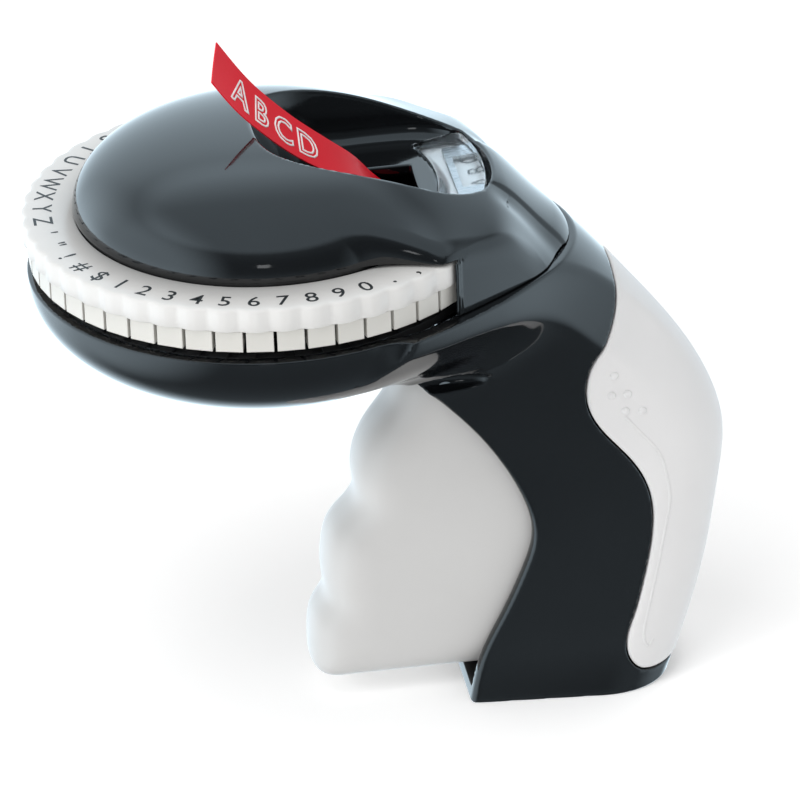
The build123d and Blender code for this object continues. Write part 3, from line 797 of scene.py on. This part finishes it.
def tape_letters():
    verts, faces = [], []
    cap, pitch, start = 5.3, 6.3, 9.0
    for k, char in enumerate("ABCD"):
        pts, polys = glyph_mesh(char, outline=0.030, bold=0.012)
        scale = cap / CAP
        u, h, z = pts[:, 0] * scale, (pts[:, 1] - CAP / 2) * scale, pts[:, 2] * scale * 0.8
        v = -h
        s = TAPE_END - start - k * pitch - u - TAPE_CUT * v
        at = tape_point(s, v, TAPE_T / 2 + 0.04 + TAPE_SAG * (v / (TAPE_W / 2))**2 + z)
        base = len(verts)
        verts += [tuple(p) for p in at]
        faces += [[base + i for i in p] for p in polys]
    piece = mesh_object("tape_letters", verts, faces, "housing", LETTER)


tape_letters()


# ---------------------------------------------------------------- raised marks on the grip
def on_skin(x, z, sign):
    """Point on the side of the grip at x, z."""
    y = 24.0
    for _ in range(60):
        d = grip_skin(np.float64(x), np.float64(y), np.float64(z))
        y -= d * 0.8
    return np.array([x, y * sign, z])


DOTS = [(-69.9, -40.3), (-69.3, -45.0), (-72.7, -45.1), (-72.2, -49.1), (-75.8, -49.5)]
GRIP_LINE = [(-72.1, -50.4), (-75.7, -55.1), (-79.2, -60.0), (-80.8, -66.1), (-81.3, -71.0),
             (-80.6, -75.7), (-78.7, -85.0), (-76.8, -93.3), (-75.2, -100.3), (-74.9, -103.5),
             (-75.7, -105.5), (-77.0, -104.2)]


def grip_marks():
    verts, faces = [], []
    for sign in (1, -1):
        for x, z in DOTS:
            c = on_skin(x, z, sign)
            n = gradient(grip_skin, c[None])[0]
            t1 = np.cross(n, (0, 0, 1.0))
            t1 /= np.linalg.norm(t1)
            t2 = np.cross(n, t1)
            base, rings, seg = len(verts), 5, 20
            for i in range(rings):
                el = (math.pi / 2) * i / rings
                r, h = 0.95 * math.cos(el), 0.5 * math.sin(el) - 0.05
                for k in range(seg):
                    a = 2 * math.pi * k / seg
                    verts.append(tuple(c + (t1 * math.cos(a) + t2 * math.sin(a)) * r + n * h))
            verts.append(tuple(c + n * 0.45))
            top = len(verts) - 1
            for i in range(rings - 1):
                for k in range(seg):
                    a, b = base + i * seg + k, base + i * seg + (k + 1) % seg
                    faces.append((a, b, b + seg, a + seg))
            last = base + (rings - 1) * seg
            for k in range(seg):
                faces.append((last + k, last + (k + 1) % seg, top))
        line = curve_points(GRIP_LINE, 0.7)
        path = np.array([on_skin(x, z, sign) for x, z in line])
        n = gradient(grip_skin, path)
        run = np.gradient(path, axis=0)
        run /= np.linalg.norm(run, axis=1, keepdims=True)
        flank = np.cross(n, run)
        base, seg = len(verts), 7
        for p, q, w in zip(path, n, flank):
            for k in range(seg):
                a = math.pi * k / (seg - 1)
                verts.append(tuple(p + w * 0.34 * math.cos(a) + q * (0.17 * math.sin(a) - 0.03)))
        for i in range(len(path) - 1):
            for k in range(seg - 1):
                a = base + i * seg + k
                faces.append((a, a + 1, a + seg + 1, a + seg))
    piece = mesh_object("grip_marks", verts, faces, "housing", GRIP)


grip_marks()


# ---------------------------------------------------------------- floor, light, camera
def area_light(name, place, aim, size, energy, color=(1, 1, 1), glossy=True):
    data = bpy.data.lights.new(name, "AREA")
    data.shape = "RECTANGLE"
    data.size, data.size_y = size
    data.energy = energy
    data.color = color
    obj = bpy.data.objects.new(name, data)
    obj.location = place
    obj.rotation_euler = (Vector(aim) - Vector(place)).to_track_quat("-Z", "Y").to_euler()
    obj.visible_glossy = glossy
    bpy.context.scene.collection.objects.link(obj)


def floor():
    mesh = bpy.data.meshes.new("floor")
    r = 3.0
    mesh.from_pydata([(-r, -r, 0), (r, -r, 0), (r, r, 0), (-r, r, 0)], [], [(0, 1, 2, 3)])
    m, tree, bsdf = new_material("pale_floor")
    bsdf.inputs["Base Color"].default_value = (0.93, 0.93, 0.93, 1)
    bsdf.inputs["Roughness"].default_value = 0.9
    bsdf.inputs["Specular IOR Level"].default_value = 0.1
    bsdf.inputs["Emission Color"].default_value = (1, 1, 1, 1)
    bsdf.inputs["Emission Strength"].default_value = 0.30
    mesh.materials.append(m)
    obj = bpy.data.objects.new("floor", mesh)
    obj.location.z = cad_box[0].z
    bpy.context.scene.collection.objects.link(obj)
    obj.visible_glossy = False


# brightness by height, from straight down (0) to straight up (1)
SKY = [(0.0, 0.20), (0.22, 0.26), (0.33, 0.42), (0.42, 0.34), (0.50, 0.16), (0.60, 0.14), (0.83, 0.12),
       (0.87, 0.9), (0.91, 1.2), (1.0, 1.35)]
# pale walls behind the object and to its two sides: axis, where they start and end, brightness
WALLS = [("Y", -0.30, -0.85, 1.4), ("X", 0.40, 0.90, 1.7), ("X", -0.55, -0.95, 1.0)]


def blend_colors(tree, mode, a, b):
    """Add or multiply a colour by another, which is a socket or a fixed colour."""
    n = tree.nodes.new("ShaderNodeMix")
    n.data_type = "RGBA"
    n.blend_type = mode
    n.inputs[0].default_value = 1.0
    link(tree, a, n.inputs[6])
    if isinstance(b, tuple):
        n.inputs[7].default_value = b
    else:
        link(tree, b, n.inputs[7])
    return n.outputs[2]


def world():
    """White to the eye; what glossy surfaces see is a soft studio: pale above, dim at the sides."""
    w = bpy.data.worlds.new("studio")
    bpy.context.scene.world = w
    w.use_nodes = True
    tree = w.node_tree
    tree.nodes.clear()
    out = tree.nodes.new("ShaderNodeOutputWorld")
    plain = tree.nodes.new("ShaderNodeBackground")
    plain.inputs["Strength"].default_value = 0.72
    soft = tree.nodes.new("ShaderNodeBackground")
    coords = tree.nodes.new("ShaderNodeTexCoord")
    split = tree.nodes.new("ShaderNodeSeparateXYZ")
    ramp = tree.nodes.new("ShaderNodeValToRGB")
    scale = tree.nodes.new("ShaderNodeMapRange")
    scale.inputs["From Min"].default_value = -1.0
    ramp.color_ramp.interpolation = "B_SPLINE"
    els = ramp.color_ramp.elements
    els[0].position, els[1].position = SKY[0][0], SKY[-1][0]
    for pos, _ in SKY[1:-1]:
        els.new(pos)
    for el, (pos, v) in zip(els, SKY):
        el.color = (v, v, v, 1)
    link(tree, coords.outputs["Generated"], split.inputs[0])
    link(tree, split.outputs["Z"], scale.inputs["Value"])
    link(tree, scale.outputs["Result"], ramp.inputs["Fac"])
    total = ramp.outputs["Color"]
    for axis, start, end, level in WALLS:
        wall = tree.nodes.new("ShaderNodeMapRange")
        wall.interpolation_type = "SMOOTHSTEP"
        wall.inputs["From Min"].default_value = start
        wall.inputs["From Max"].default_value = end
        wall.inputs["To Max"].default_value = level
        link(tree, split.outputs[axis], wall.inputs["Value"])
        total = blend_colors(tree, "ADD", total, wall.outputs["Result"])
    link(tree, blend_colors(tree, "MULTIPLY", total, (0.82, 1.0, 1.12, 1)), soft.inputs["Color"])
    white = tree.nodes.new("ShaderNodeBackground")
    white.inputs["Strength"].default_value = 1.05
    path = tree.nodes.new("ShaderNodeLightPath")
    seen = tree.nodes.new("ShaderNodeMixShader")
    link(tree, path.outputs["Is Camera Ray"], seen.inputs["Fac"])
    link(tree, plain.outputs[0], seen.inputs[1])
    link(tree, white.outputs[0], seen.inputs[2])
    mix = tree.nodes.new("ShaderNodeMixShader")
    link(tree, path.outputs["Is Glossy Ray"], mix.inputs["Fac"])
    link(tree, seen.outputs[0], mix.inputs[1])
    link(tree, soft.outputs[0], mix.inputs[2])
    link(tree, mix.outputs[0], out.inputs["Surface"])


floor()
world()
area_light("key", (0.3, 0.35, 1.1), (0, 0, 0.08), (0.6, 0.6), 4.0, glossy=False)
area_light("left", (1.1, 0.5, 0.75), (0.02, 0, 0.1), (0.5, 0.5), 5.0, glossy=False)
area_light("window", (0.16, 0.95, 0.42), (0.02, 0, 0.12), (0.12, 0.12), 0.10, (0.95, 0.98, 1.0))


def camera():
    data = bpy.data.cameras.new("camera")
    data.sensor_width = 36.0
    data.lens = 360.0
    obj = bpy.data.objects.new("camera", data)
    phi, theta, roll = math.radians(8.0), math.radians(27.7), math.radians(-2.2)
    right = Vector((-math.cos(phi), math.sin(phi), 0))
    up = Vector((-math.sin(theta) * math.sin(phi), -math.sin(theta) * math.cos(phi), math.cos(theta)))
    back = right.cross(up)
    r = right * math.cos(roll) + up * math.sin(roll)
    u = up * math.cos(roll) - right * math.sin(roll)
    obj.matrix_world = Matrix((r, u, back)).transposed().to_4x4()
    obj.location = Vector((HEAD[0] + 0.1799, HEAD[1] + 1.4723, HEAD[2] + 0.7310))
    data.clip_end = 20.0
    bpy.context.scene.collection.objects.link(obj)
    bpy.context.scene.camera = obj


camera()
bpy.context.scene.view_settings.view_transform = "Standard"
